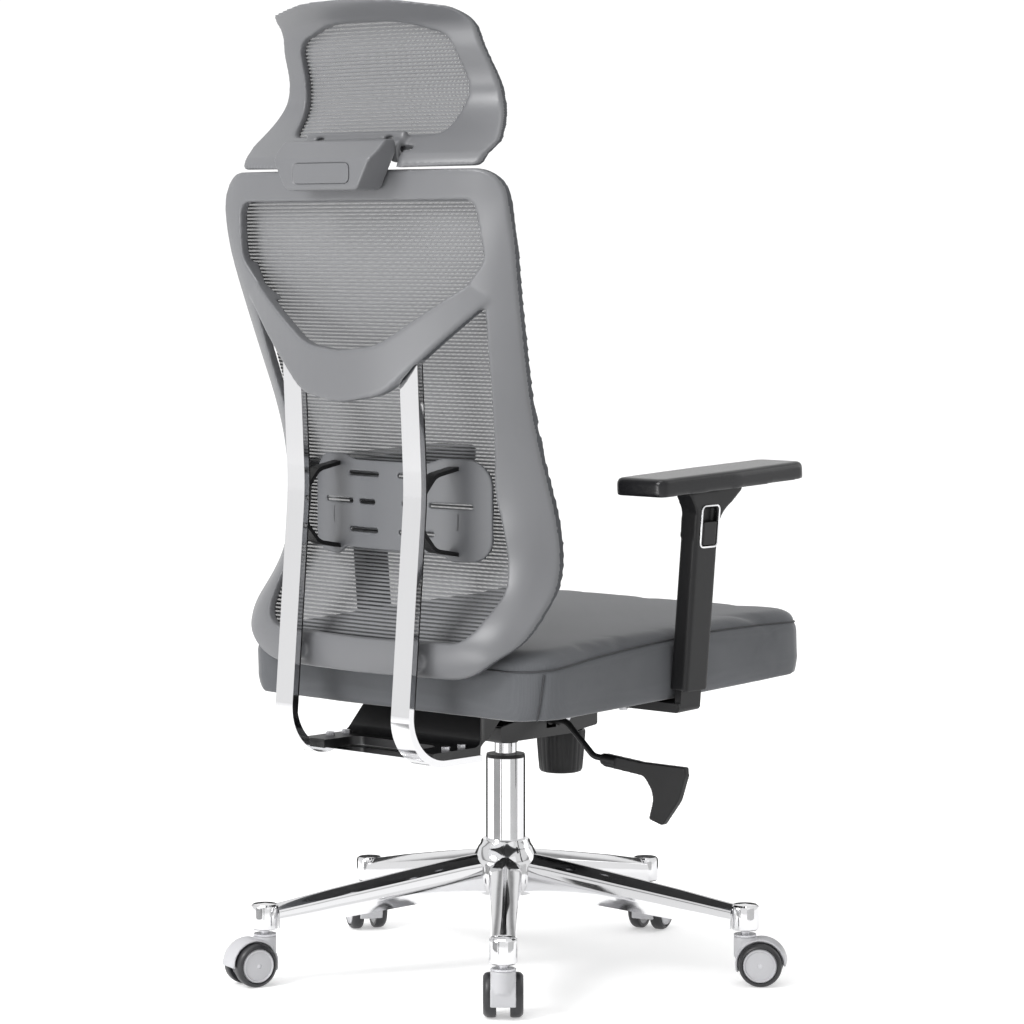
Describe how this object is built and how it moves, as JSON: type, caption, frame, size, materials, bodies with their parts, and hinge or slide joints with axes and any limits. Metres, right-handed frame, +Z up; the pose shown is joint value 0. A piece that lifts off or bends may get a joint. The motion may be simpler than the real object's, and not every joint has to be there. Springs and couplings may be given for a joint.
{
  "type": "gaming chair",
  "caption": "Swivel gaming chair: mesh back on chromed bars, tilting headrest, lumbar plate, padded seat, height-adjustable arms, gas lift, star base on twin-wheel castors.",
  "frame": {"origin": "on the gas lift's axis at floor level, under the middle of the star base", "axes": "+Z up, the sitter faces -Y, the chair's right arm is at -X"},
  "size_m": [0.7, 0.6954, 1.213],
  "materials": {
    "chrome": "polished",
    "steel": "plain turned",
    "black_metal": "satin black paint",
    "grey_plastic": "satin moulded",
    "dark_grey_plastic": "satin moulded",
    "grey_mesh": "ribbed open mesh",
    "seat_fabric": "fine close weave",
    "lined_board": "plywood under a black lining",
    "pad_skin": "soft moulded skin",
    "castor_grey": "satin grey",
    "castor_tread": "moulded tread",
    "black_plastic": "fine texture"
  },
  "bodies": {
    "base": {"star_base": "chrome", "outer_column": "chrome", "guide_bush": "black_plastic", "thrust_bearing": "steel"},
    "rod": {"piston_rod": "steel", "retaining_clip": "steel"},
    "mechanism": {"gas_cylinder": "chrome", "mechanism_housing": "black_metal", "torsion_spring": "steel", "tension_bolt": "steel"},
    "valve": {"valve_pin": "steel"},
    "knob": {"tension_knob": "black_plastic"},
    "yoke": {"lever_yoke": "black_plastic"},
    "lever": {"lever_rod": "black_plastic", "lever_paddle": "black_plastic"},
    "seat": {"tilt_shaft": "steel", "tilt_plate": "black_metal", "seat_board": "lined_board", "seat_cushion": "seat_fabric", "frame_bolts": "steel", "arm_bracket_left": "black_plastic", "arm_bracket_right": "black_plastic", "rear_bracket": "black_metal", "cross_plate": "chrome", "back_bar_left": "chrome", "back_bar_right": "chrome", "back_frame": "grey_plastic", "back_mesh": "grey_mesh"},
    "lumbar": {"lumbar_plate": "dark_grey_plastic"},
    "arm_left": {"arm_sleeve_left": "black_plastic", "arm_pad_left": "pad_skin"},
    "arm_right": {"arm_sleeve_right": "black_plastic", "arm_pad_right": "pad_skin"},
    "button_left": {"arm_button_left": "black_plastic"},
    "button_right": {"arm_button_right": "black_plastic"},
    "headrest_slider": {"headrest_bracket": "grey_plastic", "bracket_cover": "grey_plastic", "headrest_pin": "steel"},
    "headrest": {"headrest_frame": "grey_plastic", "headrest_mesh": "grey_mesh"},
    "castor_1": {"castor_1_hood": "castor_grey", "castor_1_pins": "steel"},
    "castor_1_left": {"castor_1_wheel_left": "castor_tread"},
    "castor_1_right": {"castor_1_wheel_right": "castor_tread"},
    "castor_2": {"castor_2_hood": "castor_grey", "castor_2_pins": "steel"},
    "castor_2_left": {"castor_2_wheel_left": "castor_tread"},
    "castor_2_right": {"castor_2_wheel_right": "castor_tread"},
    "castor_3": {"castor_3_hood": "castor_grey", "castor_3_pins": "steel"},
    "castor_3_left": {"castor_3_wheel_left": "castor_tread"},
    "castor_3_right": {"castor_3_wheel_right": "castor_tread"},
    "castor_4": {"castor_4_hood": "castor_grey", "castor_4_pins": "steel"},
    "castor_4_left": {"castor_4_wheel_left": "castor_tread"},
    "castor_4_right": {"castor_4_wheel_right": "castor_tread"},
    "castor_5": {"castor_5_hood": "castor_grey", "castor_5_pins": "steel"},
    "castor_5_left": {"castor_5_wheel_left": "castor_tread"},
    "castor_5_right": {"castor_5_wheel_right": "castor_tread"}
  },
  "joints": [
    {"name": "seat_swivel", "type": "hinge", "parent": "base", "child": "rod", "pos_m": [0, 0, 0.2], "axis": [0, 0, 1], "continuous": true},
    {"name": "gas_lift", "type": "slide", "parent": "rod", "child": "mechanism", "axis": [0, 0, 1], "range_m": [0, 0.1]},
    {"name": "valve_press", "type": "slide", "parent": "mechanism", "child": "valve", "axis": [0, 0, -1], "range_m": [0, 0.0035], "stiffness_N_per_m": 900},
    {"name": "tension_turn", "type": "hinge", "parent": "mechanism", "child": "knob", "pos_m": [0, -0.105, 0.27], "axis": [0, 0, 1], "range_deg": [-720, 720]},
    {"name": "lever_lift", "type": "hinge", "parent": "mechanism", "child": "yoke", "pos_m": [-0.03, 0, 0.326], "axis": [0, 1, 0], "range_deg": [0, 6], "stiffness_Nm_per_rad": 6, "springref_deg": -5.73},
    {"name": "lever_pull", "type": "slide", "parent": "yoke", "child": "lever", "axis": [-1, 0, 0], "range_m": [0, 0.012]},
    {"name": "tilt", "type": "hinge", "parent": "mechanism", "child": "seat", "pos_m": [0, -0.06, 0.322], "axis": [-1, 0, 0], "range_deg": [0, 15], "stiffness_Nm_per_rad": 150, "springref_deg": -22.92},
    {"name": "lumbar_height", "type": "slide", "parent": "seat", "child": "lumbar", "axis": [0, 0, 1], "range_m": [-0.03, 0.03]},
    {"name": "arm_height_left", "type": "slide", "parent": "seat", "child": "arm_left", "axis": [0.0837, 0, 0.9965], "range_m": [0, 0.07]},
    {"name": "arm_button_left", "type": "slide", "parent": "arm_left", "child": "button_left", "axis": [0.0837, 0, 0.9965], "range_m": [0, 0.006], "stiffness_N_per_m": 500, "springref_m": -0.004},
    {"name": "arm_height_right", "type": "slide", "parent": "seat", "child": "arm_right", "axis": [-0.0837, 0, 0.9965], "range_m": [0, 0.07]},
    {"name": "arm_button_right", "type": "slide", "parent": "arm_right", "child": "button_right", "axis": [-0.0837, 0, 0.9965], "range_m": [0, 0.006], "stiffness_N_per_m": 500, "springref_m": -0.004},
    {"name": "headrest_height", "type": "slide", "parent": "seat", "child": "headrest_slider", "axis": [0, 0, 1], "range_m": [0, 0.025]},
    {"name": "headrest_tilt", "type": "hinge", "parent": "headrest_slider", "child": "headrest", "pos_m": [0, 0.268, 1.034], "axis": [1, 0, 0], "range_deg": [-10, 20]},
    {"name": "castor_1_swivel", "type": "hinge", "parent": "base", "child": "castor_1", "pos_m": [-0.21159, 0.23335, 0.06], "axis": [0, 0, 1], "continuous": true},
    {"name": "castor_1_roll_left", "type": "hinge", "parent": "castor_1", "child": "castor_1_left", "pos_m": [-0.19776, 0.21836, 0.02725], "axis": [0.7349, 0.6782, 0], "continuous": true},
    {"name": "castor_1_roll_right", "type": "hinge", "parent": "castor_1", "child": "castor_1_right", "pos_m": [-0.19776, 0.21836, 0.02725], "axis": [0.7349, 0.6782, 0], "continuous": true},
    {"name": "castor_2_swivel", "type": "hinge", "parent": "base", "child": "castor_2", "pos_m": [-0.28732, -0.12913, 0.06], "axis": [0, 0, 1], "continuous": true},
    {"name": "castor_2_roll_left", "type": "hinge", "parent": "castor_2", "child": "castor_2_left", "pos_m": [-0.30409, -0.14074, 0.02725], "axis": [0.5693, -0.8221, 0], "continuous": true},
    {"name": "castor_2_roll_right", "type": "hinge", "parent": "castor_2", "child": "castor_2_right", "pos_m": [-0.30409, -0.14074, 0.02725], "axis": [0.5693, -0.8221, 0], "continuous": true},
    {"name": "castor_3_swivel", "type": "hinge", "parent": "base", "child": "castor_3", "pos_m": [0.03402, -0.31316, 0.06], "axis": [0, 0, 1], "continuous": true},
    {"name": "castor_3_roll_left", "type": "hinge", "parent": "castor_3", "child": "castor_3_left", "pos_m": [0.04049, -0.3325, 0.02725], "axis": [0.9483, 0.3173, 0], "continuous": true},
    {"name": "castor_3_roll_right", "type": "hinge", "parent": "castor_3", "child": "castor_3_right", "pos_m": [0.04049, -0.3325, 0.02725], "axis": [0.9483, 0.3173, 0], "continuous": true},
    {"name": "castor_4_swivel", "type": "hinge", "parent": "base", "child": "castor_4", "pos_m": [0.30834, -0.06442, 0.06], "axis": [0, 0, 1], "continuous": true},
    {"name": "castor_4_roll_left", "type": "hinge", "parent": "castor_4", "child": "castor_4_left", "pos_m": [0.3257, -0.07514, 0.02725], "axis": [0.5255, 0.8508, 0], "continuous": true},
    {"name": "castor_4_roll_right", "type": "hinge", "parent": "castor_4", "child": "castor_4_right", "pos_m": [0.3257, -0.07514, 0.02725], "axis": [0.5255, 0.8508, 0], "continuous": true},
    {"name": "castor_5_swivel", "type": "hinge", "parent": "base", "child": "castor_5", "pos_m": [0.15655, 0.27335, 0.06], "axis": [0, 0, 1], "continuous": true},
    {"name": "castor_5_roll_left", "type": "hinge", "parent": "castor_5", "child": "castor_5_left", "pos_m": [0.16241, 0.29289, 0.02725], "axis": [-0.9578, 0.2874, 0], "continuous": true},
    {"name": "castor_5_roll_right", "type": "hinge", "parent": "castor_5", "child": "castor_5_right", "pos_m": [0.16241, 0.29289, 0.02725], "axis": [-0.9578, 0.2874, 0], "continuous": true}
  ],
  "couplings": [
    {"joint": "valve_press", "follows": "lever_lift", "m_per_rad": 0.03}
  ]
}
